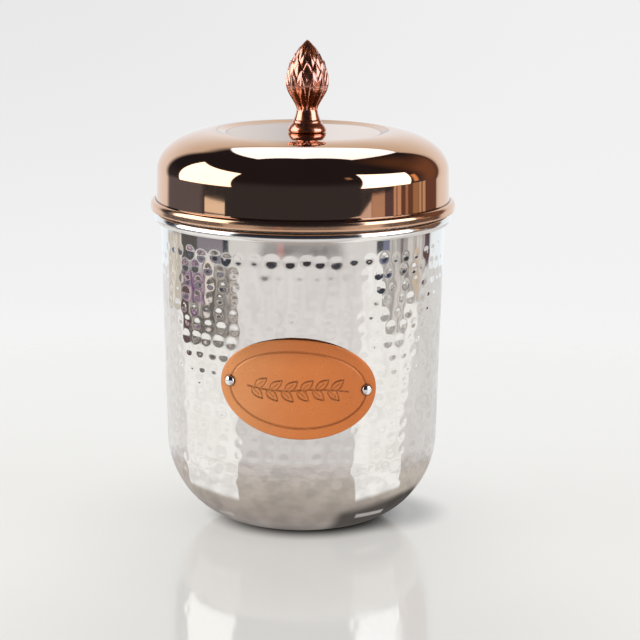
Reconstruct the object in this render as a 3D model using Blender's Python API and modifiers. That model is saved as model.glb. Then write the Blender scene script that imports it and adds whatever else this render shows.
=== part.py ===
"""Hammered steel storage canister with a riveted oval plate and a lift-off lid under a pinecone finial.

Metres, +Z up. The origin is the centre of the flat foot on the table, and the plate faces -Y.
Sheet pieces are drawn on the middle of their sheet and thickened to both sides.
"""

import math

import bmesh
import bpy
from mathutils import Matrix, Vector

MM = 0.001
GAP = 0.3 * MM
STEPS = 48
SMALL_STEPS = 24
SHADE_ANGLE = math.radians(35)
CUT_EXTRA = 5 * MM

# Can: a drawn sheet with a flat foot, a quarter-ellipse corner and a wall that widens upwards.
CAN_SHEET = 0.8 * MM
FOOT_R = 26.2 * MM
CORNER_TOP_R = 67.33 * MM
CORNER_TOP_Z = 44.4 * MM
MOUTH_R = 70.0 * MM
CAN_RIM_Z = 152.73 * MM
CAN_RIM_HALF_WIDTH = 1.96 * MM
CAN_RIM_HALF_HEIGHT = 2.62 * MM
CAN_RIM_END_ANGLE = -105

# Lid: its rim is rolled outwards, and its flat top lies a little below a raised ring.
LID_SHEET = 0.8 * MM
LID_RIM_Z = 158.45 * MM
LID_WALL_R = 72.33 * MM
LID_RIM_HALF_WIDTH = 1.76 * MM
LID_RIM_HALF_HEIGHT = 2.54 * MM
LID_RIM_END_ANGLE = 461
SHOULDER_R = 72.06 * MM
SHOULDER_Z = 175.24 * MM
RING_R = 41.86 * MM
RING_Z = 194.84 * MM
TOP_R = 40.5 * MM
TOP_Z = 193.85 * MM

# Collar inside the lid, and the seal round it.
SLEEVE_SHEET = 0.6 * MM
SLEEVE_R = 66.1 * MM
SLEEVE_FOOT_R = 67.3 * MM
SLEEVE_FOOT_Z = 143.0 * MM
SLEEVE_LIP_R = 70.8 * MM
SLEEVE_LIP_Z = 164.0 * MM
SLEEVE_BEND = 0.7 * MM
SEAL_LOW_Z = 144.6 * MM
SEAL_BASE_R = 67.4 * MM
SEAL_LIP_R = 68.6 * MM
SEAL_LIPS = 3
SEAL_PITCH = 3.2 * MM
SEAL_LIP_DROP = 0.6 * MM
SEAL_LIP_ROOT = 1.4 * MM

# Plate: an oval laid on the can's wall and turned a little, with two rivets near its ends.
PLATE_WIDTH = 77.0 * MM
PLATE_HEIGHT = 48.8 * MM
PLATE_SHEET = 0.8 * MM
PLATE_Z = 79.9 * MM
PLATE_ARC = -1.95 * MM
PLATE_TURN = math.radians(-3.3)
PLATE_CELLS = (22, 10)
RIVET_REACH = 33.3 * MM
RIVET_RISE = 0.6 * MM
RIVET_SHANK_R = 1.3 * MM
RIVET_HEAD_R = 2.5 * MM
RIVET_HEAD_HEIGHT = 1.5 * MM
RIVET_TAIL_R = 2.1 * MM
RIVET_TAIL_HEIGHT = 0.9 * MM
BURR_R = 3.3 * MM
BURR_THICKNESS = 0.6 * MM

# Finial: a foot bead, a waisted neck and a cone. It stands a little off the lid's centre.
FINIAL_X = 1.85 * MM
FINIAL_HEIGHT = 45.1 * MM
FINIAL_BEAD_R = 9.5 * MM
FINIAL_BEAD_MID = 1.0 * MM
FINIAL_BEAD_TOP = 4.8 * MM
FINIAL_BEAD_FALL = 2.3 * MM
FINIAL_NECK_R = 5.33 * MM
FINIAL_NECK_H = 10.4 * MM
FINIAL_CONE_R = 10.76 * MM
FINIAL_CONE_H = 23.5 * MM
FINIAL_HEIGHTS = 22
FINIAL_BEAD_POWER = 1.35
FINIAL_NECK_POWER = 1.3
FINIAL_SWELL_POWER = 0.9
FINIAL_TIP_POWER = 1.25
FINIAL_TIP_R = 0.5 * MM
FINIAL_HOLE_DEPTH = 12 * MM

# Screw stack under the lid's top.
SCREW_R = 1.9 * MM
SCREW_REACH = 9 * MM
SCREW_HEAD_R = 3.7 * MM
SCREW_HEAD_HEIGHT = 2.5 * MM
SCREW_DRIVE = (4.2 * MM, 0.9 * MM, 1.5 * MM)
WASHER_R = 6.0 * MM
WASHER_THICKNESS = 1.0 * MM
LOCK_WASHER_R = 3.7 * MM
LOCK_WASHER_THICKNESS = 1.2 * MM
LOCK_WASHER_SLIT = 0.8 * MM


def clear_scene():
    for obj in list(bpy.data.objects):
        bpy.data.objects.remove(obj)


def collection(name):
    made = bpy.data.collections.new(name)
    bpy.context.scene.collection.children.link(made)
    return made


def metal(name, color, roughness, metallic=1.0):
    made = bpy.data.materials.new(name)
    made.use_nodes = True
    shader = made.node_tree.nodes["Principled BSDF"]
    shader.inputs["Base Color"].default_value = (*color, 1)
    shader.inputs["Roughness"].default_value = roughness
    shader.inputs["Metallic"].default_value = metallic
    return made


def new_object(name, mesh, material=None):
    """An object in the canister's collection, or a cutter where it has no material."""
    obj = bpy.data.objects.new(name, mesh)
    if material:
        mesh.materials.append(material)
        PARTS.objects.link(obj)
    else:
        obj.hide_render = True
        obj.display_type = "WIRE"
        CUTTERS.objects.link(obj)
    return obj


def ellipse(center, half_width, half_height, start, end, count):
    """Points (radius, z) along an ellipse, from one angle to another in degrees."""
    points = []
    for i in range(count):
        angle = math.radians(start + (end - start) * i / (count - 1))
        radius = center[0] + half_width * math.cos(angle)
        z = center[1] + half_height * math.sin(angle)
        points.append((radius, z))
    return points


def turned(name, points, material=None, steps=STEPS, closed=False):
    """A profile of (radius, z) points, outer side from top to bottom, turned about Z."""
    mesh = bpy.data.meshes.new(name)
    edges = [(i, i + 1) for i in range(len(points) - 1)]
    if closed:
        edges.append((len(points) - 1, 0))
    mesh.from_pydata([(radius, 0, z) for radius, z in points], edges, [])
    obj = new_object(name, mesh, material)
    screw = obj.modifiers.new("turn", "SCREW")
    screw.steps = steps
    screw.render_steps = steps
    screw.use_merge_vertices = True
    screw.merge_threshold = 0.01 * MM
    return obj


def thicken(obj, thickness):
    sheet = obj.modifiers.new("sheet", "SOLIDIFY")
    sheet.thickness = thickness
    sheet.offset = 0
    sheet.use_even_offset = True


def cut(obj, cutter):
    hole = obj.modifiers.new(cutter.name, "BOOLEAN")
    hole.operation = "DIFFERENCE"
    hole.solver = "EXACT"
    hole.object = cutter


def box(name, size):
    """A cutter in the shape of a box, centred on its origin."""
    mesh = bpy.data.meshes.new(name)
    shape = bmesh.new()
    bmesh.ops.create_cube(shape, size=1)
    bmesh.ops.scale(shape, vec=size, verts=shape.verts)
    shape.to_mesh(mesh)
    shape.free()
    return new_object(name, mesh)


def rod(name, radius, low, high):
    """A cutter in the shape of a cylinder along Z."""
    return turned(name, [(0, high), (radius, high), (radius, low), (0, low)], steps=SMALL_STEPS)


def ring(name, inner, outer, low, high, material):
    profile = [(inner, high), (outer, high), (outer, low), (inner, low)]
    return turned(name, profile, material, steps=SMALL_STEPS, closed=True)


def wall_radius(z):
    """Outer radius of the can's wall at a height."""
    slope = (MOUTH_R - CORNER_TOP_R) / (CAN_RIM_Z - CORNER_TOP_Z)
    return CORNER_TOP_R + slope * (z - CORNER_TOP_Z)


def wall_point(arc, z, standoff):
    """A point off the wall, at an arc length from the wall's front line."""
    radius = wall_radius(z) + standoff
    angle = arc / wall_radius(PLATE_Z)
    return Vector((radius * math.sin(angle), -radius * math.cos(angle), z))


def plate_place(along, across):
    """Arc length and height of a point given along and across the turned oval."""
    c = math.cos(PLATE_TURN)
    s = math.sin(PLATE_TURN)
    return PLATE_ARC + along * c - across * s, PLATE_Z + along * s + across * c


def rivet_matrix(side):
    """Frame on the can's outer wall at one rivet, with Z pointing out of the wall."""
    arc, z = plate_place(side * RIVET_REACH, RIVET_RISE)
    here = wall_point(arc, z, 0)
    upwards = (wall_point(arc, z + MM, 0) - here).normalized()
    sideways = (wall_point(arc + MM, z, 0) - here).normalized()
    outwards = sideways.cross(upwards)
    turn = Matrix((sideways, upwards, outwards)).transposed().to_4x4()
    return Matrix.Translation(here) @ turn


def build_can():
    half = CAN_SHEET / 2
    middle_r = MOUTH_R - half
    rim_half_width = CAN_RIM_HALF_WIDTH - half
    rim_center = (middle_r + rim_half_width, CAN_RIM_Z)
    rim = ellipse(rim_center, rim_half_width, CAN_RIM_HALF_HEIGHT - half, CAN_RIM_END_ANGLE, 180, 9)
    corner = ellipse(
        (FOOT_R, CORNER_TOP_Z), CORNER_TOP_R - FOOT_R - half, CORNER_TOP_Z - half, 0, -90, 8
    )
    can = turned("can_body", [*rim, *corner, (0, half)], STEEL)
    thicken(can, CAN_SHEET)
    return can


def build_lid():
    half = LID_SHEET / 2
    rim_half_width = LID_RIM_HALF_WIDTH - half
    rim_center = (LID_WALL_R - half + rim_half_width, LID_RIM_Z)
    rim = ellipse(rim_center, rim_half_width, LID_RIM_HALF_HEIGHT - half, 180, LID_RIM_END_ANGLE, 9)
    dome = ellipse(
        (RING_R, SHOULDER_Z), SHOULDER_R - RING_R - half, RING_Z - SHOULDER_Z - half, 90, 0, 7
    )
    lid = turned("lid_dome", [(0, TOP_Z - half), (TOP_R, TOP_Z - half), *dome, *rim], COPPER)
    thicken(lid, LID_SHEET)
    hole = rod("finial_hole_cutter", SCREW_R + GAP, TOP_Z - CUT_EXTRA, TOP_Z + CUT_EXTRA)
    hole.location.x = FINIAL_X
    cut(lid, hole)


def build_sleeve():
    """Steel collar: a foot under the seal, a ledge over the can's rim, and a lip up the lid's wall."""
    ledge_z = CAN_RIM_Z + CAN_RIM_HALF_HEIGHT + GAP + SLEEVE_SHEET / 2
    profile = [
        (SLEEVE_LIP_R, SLEEVE_LIP_Z),
        (SLEEVE_LIP_R, ledge_z + SLEEVE_BEND),
        (SLEEVE_LIP_R - SLEEVE_BEND, ledge_z),
        (SLEEVE_R + SLEEVE_BEND, ledge_z),
        (SLEEVE_R, ledge_z - SLEEVE_BEND),
        (SLEEVE_R, SLEEVE_FOOT_Z + SLEEVE_BEND),
        (SLEEVE_FOOT_R, SLEEVE_FOOT_Z),
    ]
    thicken(turned("lid_sleeve", profile, INNER_STEEL), SLEEVE_SHEET)


def build_seal():
    inner = SLEEVE_R + SLEEVE_SHEET / 2 + GAP
    top = SEAL_LOW_Z + SEAL_LIPS * SEAL_PITCH
    profile = [(inner, top)]
    for i in range(SEAL_LIPS):
        root = top - i * SEAL_PITCH
        profile.append((SEAL_BASE_R, root))
        profile.append((SEAL_LIP_R, root - SEAL_LIP_DROP))
        profile.append((SEAL_BASE_R, root - SEAL_LIP_ROOT))
    profile.append((SEAL_BASE_R, SEAL_LOW_Z))
    profile.append((inner, SEAL_LOW_Z))
    turned("lid_seal", profile, SILICONE, closed=True)


def build_plate():
    """A square grid made a disc, stretched to the oval and wrapped round the wall."""
    mesh = bpy.data.meshes.new("label_plate")
    shape = bmesh.new()
    bmesh.ops.create_grid(shape, x_segments=PLATE_CELLS[0], y_segments=PLATE_CELLS[1], size=1)
    standoff = GAP + PLATE_SHEET / 2
    for vert in shape.verts:
        x, y, _ = vert.co
        along = x * math.sqrt(1 - y * y / 2) * PLATE_WIDTH / 2
        across = y * math.sqrt(1 - x * x / 2) * PLATE_HEIGHT / 2
        vert.co = wall_point(*plate_place(along, across), standoff)
    shape.to_mesh(mesh)
    shape.free()
    plate = new_object("label_plate", mesh, COPPER_PLATE)
    thicken(plate, PLATE_SHEET)
    return plate


def build_rivet(side, label, can, plate):
    place = rivet_matrix(side)
    head_low = 2 * GAP + PLATE_SHEET
    inside = -CAN_SHEET - GAP
    burr_low = inside - BURR_THICKNESS
    tail_high = burr_low - GAP
    tail_low = tail_high - RIVET_TAIL_HEIGHT
    head = ellipse((0, head_low), RIVET_HEAD_R, RIVET_HEAD_HEIGHT, 90, 0, 5)
    shank = [(RIVET_SHANK_R, head_low), (RIVET_SHANK_R, tail_high)]
    tail = [(RIVET_TAIL_R, tail_high), (RIVET_TAIL_R, tail_low), (0, tail_low)]
    rivet = turned(f"label_rivet_{label}", [*head, *shank, *tail], RIVET_STEEL, steps=SMALL_STEPS)
    rivet.matrix_world = place
    burr = ring(
        f"rivet_washer_{label}", RIVET_SHANK_R + GAP, BURR_R, burr_low, inside, RIVET_STEEL
    )
    burr.matrix_world = place
    hole = rod(f"rivet_hole_cutter_{label}", RIVET_SHANK_R + GAP, -CUT_EXTRA, CUT_EXTRA)
    hole.matrix_world = place
    cut(can, hole)
    cut(plate, hole)


def finial_radius(height):
    """Radius of the finial at a height above the lid's flat top."""
    if height < FINIAL_BEAD_TOP:
        share = abs(height - FINIAL_BEAD_MID) / (FINIAL_BEAD_TOP - FINIAL_BEAD_MID)
        return FINIAL_BEAD_R - FINIAL_BEAD_FALL * share**FINIAL_BEAD_POWER
    if height < FINIAL_NECK_H:
        share = (height - FINIAL_BEAD_TOP) / (FINIAL_NECK_H - FINIAL_BEAD_TOP)
        shoulder = FINIAL_BEAD_R - FINIAL_BEAD_FALL
        return FINIAL_NECK_R + (shoulder - FINIAL_NECK_R) * (1 - share) ** FINIAL_NECK_POWER
    if height < FINIAL_CONE_H:
        share = (height - FINIAL_NECK_H) / (FINIAL_CONE_H - FINIAL_NECK_H)
        eased = (share * share * (3 - 2 * share)) ** FINIAL_SWELL_POWER
        return FINIAL_NECK_R + (FINIAL_CONE_R - FINIAL_NECK_R) * eased
    share = (height - FINIAL_CONE_H) / (FINIAL_HEIGHT - FINIAL_CONE_H)
    return max(FINIAL_TIP_R, FINIAL_CONE_R * math.cos(math.pi / 2 * share**FINIAL_TIP_POWER))


def build_finial():
    profile = [(0, TOP_Z + FINIAL_HEIGHT)]
    for i in range(FINIAL_HEIGHTS + 1):
        height = GAP + (FINIAL_HEIGHT - GAP) * (1 - i / FINIAL_HEIGHTS)
        profile.append((finial_radius(height), TOP_Z + height))
    profile.append((0, TOP_Z + GAP))
    finial = turned("finial", profile, COPPER, steps=SMALL_STEPS)
    finial.location.x = FINIAL_X
    hole = rod(
        "finial_thread_cutter", SCREW_R + GAP, TOP_Z - CUT_EXTRA, TOP_Z + FINIAL_HOLE_DEPTH
    )
    hole.location.x = FINIAL_X
    cut(finial, hole)


def build_screw_stack():
    washer_high = TOP_Z - LID_SHEET - GAP
    washer_low = washer_high - WASHER_THICKNESS
    lock_high = washer_low - GAP
    lock_low = lock_high - LOCK_WASHER_THICKNESS
    head_high = lock_low - GAP
    head_low = head_high - SCREW_HEAD_HEIGHT
    bore = SCREW_R + GAP
    washer = ring("finial_washer", bore, WASHER_R, washer_low, washer_high, ZINC)
    lock_washer = ring("finial_lock_washer", bore, LOCK_WASHER_R, lock_low, lock_high, ZINC)
    slit = box(
        "lock_washer_slit_cutter", (2 * LOCK_WASHER_R, LOCK_WASHER_SLIT, 2 * LOCK_WASHER_THICKNESS)
    )
    slit.location = (FINIAL_X + LOCK_WASHER_R, 0, (lock_high + lock_low) / 2)
    cut(lock_washer, slit)
    crown = ellipse((0, head_high), SCREW_HEAD_R, SCREW_HEAD_HEIGHT, 0, -90, 5)
    shank = [(0, TOP_Z + SCREW_REACH), (SCREW_R, TOP_Z + SCREW_REACH), (SCREW_R, head_high)]
    screw = turned("finial_screw", [*shank, *crown], ZINC, steps=SMALL_STEPS)
    length, width, depth = SCREW_DRIVE
    for i, size in enumerate([(length, width, 2 * depth), (width, length, 2 * depth)]):
        slot = box(f"screw_drive_cutter_{i}", size)
        slot.location = (FINIAL_X, 0, head_low)
        cut(screw, slot)
    for piece in (washer, lock_washer, screw):
        piece.location.x = FINIAL_X


def settle(obj, graph):
    """Makes the modifiers' result the object's own mesh, smooth except along its sharp edges."""
    mesh = bpy.data.meshes.new_from_object(obj.evaluated_get(graph))
    mesh.shade_smooth()
    mesh.set_sharp_from_angle(angle=SHADE_ANGLE)
    return mesh


clear_scene()
PARTS = collection("storage_canister")
CUTTERS = collection("cutters")
STEEL = metal("polished_hammered_steel", (0.72, 0.71, 0.69), 0.08)
INNER_STEEL = metal("satin_steel", (0.66, 0.65, 0.64), 0.25)
COPPER = metal("polished_copper", (0.75, 0.36, 0.22), 0.1)
COPPER_PLATE = metal("satin_copper", (0.72, 0.33, 0.16), 0.3)
RIVET_STEEL = metal("rivet_steel", (0.78, 0.77, 0.76), 0.12)
ZINC = metal("zinc_plated_steel", (0.66, 0.67, 0.69), 0.3)
SILICONE = metal("translucent_silicone", (0.82, 0.82, 0.8), 0.5, metallic=0.0)

can_object = build_can()
plate_object = build_plate()
build_rivet(-1, "left", can_object, plate_object)
build_rivet(1, "right", can_object, plate_object)
build_lid()
build_sleeve()
build_seal()
build_finial()
build_screw_stack()

bpy.context.view_layer.update()
depsgraph = bpy.context.evaluated_depsgraph_get()
settled = {part: settle(part, depsgraph) for part in PARTS.objects}
for part, settled_mesh in settled.items():
    part.modifiers.clear()
    part.data = settled_mesh
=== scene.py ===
"""Looks of the hammered steel canister: can, engraved oval plate, copper lid and pinecone finial.

Each piece is a fine mesh that stands for one CAD node, and its place and main sizes come from the
nodes' boxes. Lengths are in metres, +Z is up, and the plate faces -Y.
"""

import math
import random

import bmesh
import bpy
import numpy as np
from mathutils import Matrix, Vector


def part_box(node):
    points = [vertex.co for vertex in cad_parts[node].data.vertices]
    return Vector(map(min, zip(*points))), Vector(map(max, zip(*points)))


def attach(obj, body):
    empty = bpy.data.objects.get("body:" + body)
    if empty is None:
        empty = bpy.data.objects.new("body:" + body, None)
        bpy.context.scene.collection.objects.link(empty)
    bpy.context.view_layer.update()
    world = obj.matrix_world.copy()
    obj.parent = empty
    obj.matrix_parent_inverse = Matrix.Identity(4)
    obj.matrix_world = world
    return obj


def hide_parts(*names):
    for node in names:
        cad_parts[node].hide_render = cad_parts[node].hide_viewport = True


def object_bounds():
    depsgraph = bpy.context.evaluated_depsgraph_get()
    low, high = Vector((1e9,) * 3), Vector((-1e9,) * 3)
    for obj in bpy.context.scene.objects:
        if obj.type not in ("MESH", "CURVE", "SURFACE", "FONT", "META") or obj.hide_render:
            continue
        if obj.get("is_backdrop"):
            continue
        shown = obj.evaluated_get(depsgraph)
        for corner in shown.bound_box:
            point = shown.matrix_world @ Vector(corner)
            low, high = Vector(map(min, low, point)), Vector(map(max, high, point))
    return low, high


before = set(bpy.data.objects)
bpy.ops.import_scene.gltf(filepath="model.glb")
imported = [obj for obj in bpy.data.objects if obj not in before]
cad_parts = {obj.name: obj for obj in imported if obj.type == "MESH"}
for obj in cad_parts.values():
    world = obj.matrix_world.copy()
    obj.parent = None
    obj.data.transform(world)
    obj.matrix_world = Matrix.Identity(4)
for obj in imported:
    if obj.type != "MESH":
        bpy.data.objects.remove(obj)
CAD_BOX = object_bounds()

MM = 0.001
TAU = 2 * math.pi
GAP = 0.3 * MM

# Can, from its own box: a drawn sheet whose rim is rolled outwards.
CAN_LOW, CAN_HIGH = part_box("can_body")
SHEET = 0.8 * MM
CAN_RIM_HALF_WIDTH = 1.96 * MM
CAN_RIM_HALF_HEIGHT = 2.62 * MM
CAN_RIM_Z = CAN_HIGH.z - CAN_RIM_HALF_HEIGHT
CAN_RIM_R = CAN_HIGH.x - CAN_RIM_HALF_WIDTH
MOUTH_R = CAN_RIM_R - CAN_RIM_HALF_WIDTH + SHEET
CORNER_TOP_R = MOUTH_R - 2.67 * MM
CORNER_TOP_Z = 44.4 * MM
FOOT_R = 26.2 * MM
WALL_SLOPE = (MOUTH_R - CORNER_TOP_R) / (CAN_RIM_Z - CORNER_TOP_Z)

# Lid, from its own box: a raised ring round a flat top, a domed shoulder and a rolled rim.
LID_LOW, LID_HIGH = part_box("lid_dome")
LID_RIM_TOP = LID_LOW.z + 5.08 * MM
LID_FLARE_TOP = LID_RIM_TOP + 0.9 * MM
LID_WALL_R = LID_HIGH.x - 2.72 * MM
SHOULDER_R = LID_WALL_R - 0.27 * MM
SHOULDER_Z = LID_HIGH.z - 19.6 * MM
RING_R = 41.86 * MM
RING_Z = LID_HIGH.z
TOP_R = 40.5 * MM
TOP_Z = RING_Z - 1.0 * MM
LID_HOLE_R = 2.2 * MM

# Plate: an oval wrapped on the wall and turned a little.
PLATE_HALF_WIDTH = 38.5 * MM
PLATE_HALF_HEIGHT = 24.4 * MM
PLATE_SHEET = 0.8 * MM
PLATE_Z = sum(corner.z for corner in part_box("label_plate")) / 2
PLATE_ARC = -1.95 * MM
PLATE_TURN = math.radians(-3.3)
RIVET_REACH = 33.3 * MM
RIVET_RISE = 0.6 * MM

# Finial, from its own box: it stands a little off the lid's centre.
FINIAL_LOW, FINIAL_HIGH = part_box("finial")
FINIAL_X = (FINIAL_LOW.x + FINIAL_HIGH.x) / 2
FINIAL_HEIGHT = FINIAL_HIGH.z - TOP_Z
SCREW_R = 1.9 * MM

rng = random.Random(7)


# ---------------------------------------------------------------- mesh helpers
def new_object(name, data):
    obj = bpy.data.objects.new(name, data)
    bpy.context.scene.collection.objects.link(obj)
    return obj


def mesh_object(name, points, faces):
    mesh = bpy.data.meshes.new(name)
    mesh.from_pydata(points, [], faces)
    mesh.shade_smooth()
    return new_object(name, mesh)


def shape_object(name, shape):
    """An object of a bmesh, which it frees."""
    mesh = bpy.data.meshes.new(name)
    shape.to_mesh(mesh)
    shape.free()
    return new_object(name, mesh)


def grid_faces(rows, columns, wrap=False):
    """Quads of a grid whose points run row by row. wrap joins its last column to its first."""
    across = columns if wrap else columns - 1
    row, column = np.meshgrid(np.arange(rows - 1), np.arange(across), indexing="ij")
    beside = (column + 1) % columns
    low = (row * columns + column, row * columns + beside)
    high = ((row + 1) * columns + beside, (row + 1) * columns + column)
    return np.stack([*low, *high], axis=-1).reshape(-1, 4)


def turned(name, profile, segments, shape=None, closed=False):
    """A solid of revolution about Z, from a path of (radius, z) that runs down its outer side.

    A closed path joins its last point to its first, and another starts and ends on the axis.
    shape may change the points: it takes and gives arrays of radius, z and angle, a row per path point.
    """
    path = np.array(profile, float)
    body = path if closed else path[1:-1]
    count = len(body)
    radii = np.repeat(body[:, :1], segments, axis=1)
    heights = np.repeat(body[:, 1:], segments, axis=1)
    angles = np.repeat(np.arange(segments)[None] * TAU / segments, count, axis=0)
    if shape:
        radii, heights, angles = shape(radii, heights, angles)
    points = np.stack([radii * np.cos(angles), radii * np.sin(angles), heights], axis=-1)
    points = points.reshape(-1, 3).tolist()
    faces = grid_faces(count, segments, wrap=True)[:, ::-1].tolist()
    last = (count - 1) * segments
    for i in range(segments):
        j = (i + 1) % segments
        if closed:
            faces.append((i, j, last + j, last + i))
        else:
            faces.append((i, j, len(points)))
            faces.append((last + j, last + i, len(points) + 1))
    if not closed:
        points.append((0, 0, path[0, 1]))
        points.append((0, 0, path[-1, 1]))
    return mesh_object(name, points, faces)


def ellipse(center, half_width, half_height, start, end, count):
    """Points (radius, z) along an ellipse, from one angle to another in degrees."""
    angles = np.radians(np.linspace(start, end, count))
    radii = center[0] + half_width * np.cos(angles)
    heights = center[1] + half_height * np.sin(angles)
    return list(zip(radii, heights))


def line(start, end, count):
    """Points from start up to, but without, end."""
    shares = np.arange(count)[:, None] / count
    return [tuple(point) for point in np.array(start) + shares * (np.array(end) - np.array(start))]


def rounded(corners, radius, steps=4, closed=False):
    """A path through corners (radius, z), each cut off by a small curve."""
    count = len(corners)
    path = []
    for i, corner in enumerate(corners):
        if not closed and i in (0, count - 1):
            path.append(corner)
            continue
        here = np.array(corner, float)
        back = np.array(corners[i - 1], float) - here
        on = np.array(corners[(i + 1) % count], float) - here
        reach = min(radius, np.linalg.norm(back) * 0.45, np.linalg.norm(on) * 0.45)
        first = here + back / np.linalg.norm(back) * reach
        second = here + on / np.linalg.norm(on) * reach
        for t in np.linspace(0, 1, steps + 1):
            path.append(tuple((1 - t) ** 2 * first + 2 * t * (1 - t) * here + t * t * second))
    return path


def beside(path, distance):
    """The path moved to its right by a distance."""
    points = np.array(path)
    along = np.gradient(points, axis=0)
    along /= np.linalg.norm(along, axis=1, keepdims=True)
    moved = points + distance * np.stack([along[:, 1], -along[:, 0]], axis=1)
    return [tuple(point) for point in moved]


def smoothstep(low, high, value):
    t = np.clip((value - low) / (high - low), 0, 1)
    return t * t * (3 - 2 * t)


def place_piece(obj, material, body, node):
    """Gives a piece its material and body, and lets it stand for its CAD node."""
    obj.data.materials.append(material)
    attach(obj, body)
    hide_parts(node)


# ---------------------------------------------------------------- node helpers
class Nodes:
    """Short calls that build one node tree."""

    def __init__(self, tree):
        self.tree = tree

    def put(self, socket, value):
        if isinstance(value, bpy.types.NodeSocket):
            self.tree.links.new(value, socket)
        elif isinstance(value, tuple) and len(value) == 3 and len(socket.default_value) == 4:
            socket.default_value = (*value, 1)
        else:
            socket.default_value = value

    def add(self, kind, inputs=None, **settings):
        node = self.tree.nodes.new(kind)
        for key, value in settings.items():
            setattr(node, key, value)
        for key, value in (inputs or {}).items():
            self.put(node.inputs[key], value)
        return node

    def math(self, operation, *values, clamp=False):
        node = self.add("ShaderNodeMath", operation=operation, use_clamp=clamp)
        for socket, value in zip(node.inputs, values):
            self.put(socket, value)
        return node.outputs[0]

    def join(self, share, first, second):
        """A mix of two shaders."""
        return self.add("ShaderNodeMixShader", {0: share, 1: first, 2: second}).outputs[0]

    def vector(self, operation, *values):
        """A node of vector mathematics, whose output the caller picks."""
        return self.add("ShaderNodeVectorMath", dict(enumerate(values)), operation=operation)

    def blend(self, share, first, second):
        """A mix of two numbers."""
        return self.add("ShaderNodeMix", {0: share, 2: first, 3: second}, data_type="FLOAT").outputs[0]

    def place(self):
        return self.add("ShaderNodeTexCoord").outputs["Object"]

    def geometry(self, output):
        return self.add("ShaderNodeNewGeometry").outputs[output]

    def split(self, vector):
        """Its x, y and z."""
        return self.add("ShaderNodeSeparateXYZ", {0: vector}).outputs

    def glow(self, color):
        return self.add("ShaderNodeEmission", {"Color": color}).outputs[0]

    def times(self, first, second, clamp=False):
        return self.math("MULTIPLY", first, second, clamp=clamp)

    def stretched(self, place, scale):
        return self.add("ShaderNodeMapping", {"Vector": place, "Scale": scale}).outputs[0]

    def mix(self, share, first, second):
        """A mix of two colours."""
        node = self.add("ShaderNodeMix", data_type="RGBA")
        self.put(node.inputs[0], share)
        self.put(node.inputs[6], first)
        self.put(node.inputs[7], second)
        return node.outputs[2]

    def fit(self, value, low, high, out_low=0.0, out_high=1.0, smooth=True):
        """value between low and high, carried over to the out range."""
        node = self.add("ShaderNodeMapRange")
        node.interpolation_type = "SMOOTHSTEP" if smooth else "LINEAR"
        for key, setting in (("Value", value), ("From Min", low), ("From Max", high)):
            self.put(node.inputs[key], setting)
        self.put(node.inputs["To Min"], out_low)
        self.put(node.inputs["To Max"], out_high)
        return node.outputs["Result"]

    def noise(self, place, scale, detail=3.0, roughness=0.5):
        inputs = {"Vector": place, "Scale": scale, "Detail": detail, "Roughness": roughness}
        return self.add("ShaderNodeTexNoise", inputs).outputs["Fac"]


def new_material(name):
    material = bpy.data.materials.new(name)
    material.use_nodes = True
    return material, Nodes(material.node_tree), material.node_tree.nodes["Principled BSDF"]


def metal(name, color, second_color, roughness, grain=0.02, stretch=(1, 1, 1), bump=0.1):
    """Metal with a mottled tint, smudges in its gloss and a fine grain. stretch makes it a brushed grain.

    Gives its material, nodes and shader.
    """
    material, nodes, shader = new_material(name)
    place = nodes.place()
    mottle = nodes.noise(place, 55, 4)
    smudge = nodes.noise(place, 160, 5, 0.6)
    fine = nodes.noise(nodes.stretched(place, stretch), 2400, 2)
    nodes.put(shader.inputs["Base Color"], nodes.mix(nodes.fit(mottle, 0.35, 0.65), color, second_color))
    shader.inputs["Metallic"].default_value = 1.0
    gloss = nodes.fit(smudge, 0.3, 0.7, roughness * 0.8, roughness * 1.3)
    nodes.put(shader.inputs["Roughness"], gloss)
    bumps = nodes.add("ShaderNodeBump", {"Height": fine, "Strength": bump, "Distance": grain * MM})
    nodes.put(shader.inputs["Normal"], bumps.outputs["Normal"])
    return material, nodes, shader


def paint_shade_in_hollows(nodes, shader, strength, reach, color, alone=True):
    """Paints shade into creases: fades the base colour to another where they are. alone leaves the other
    pieces out of account.
    """
    hollow = nodes.add("ShaderNodeAmbientOcclusion", {"Distance": reach}, samples=6, only_local=alone)
    dark = nodes.times(nodes.math("SUBTRACT", 1.0, hollow.outputs["AO"]), strength, clamp=True)
    tint = shader.inputs["Base Color"].links[0].from_socket
    nodes.put(shader.inputs["Base Color"], nodes.mix(dark, tint, color))


def dull_rim(nodes, shader, low, high, roughness):
    """Makes the gloss of a worn rim duller between two heights."""
    z = nodes.split(nodes.place())[2]
    above, below = nodes.fit(z, low - MM, low), nodes.fit(z, high, high + 0.5 * MM, 1.0, 0.0)
    rim = nodes.times(above, below)
    gloss = shader.inputs["Roughness"].links[0].from_socket
    nodes.put(shader.inputs["Roughness"], nodes.blend(rim, gloss, roughness))


INNER_ROUGHNESS = 0.3
INNER_METALLIC = 0.45


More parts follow.
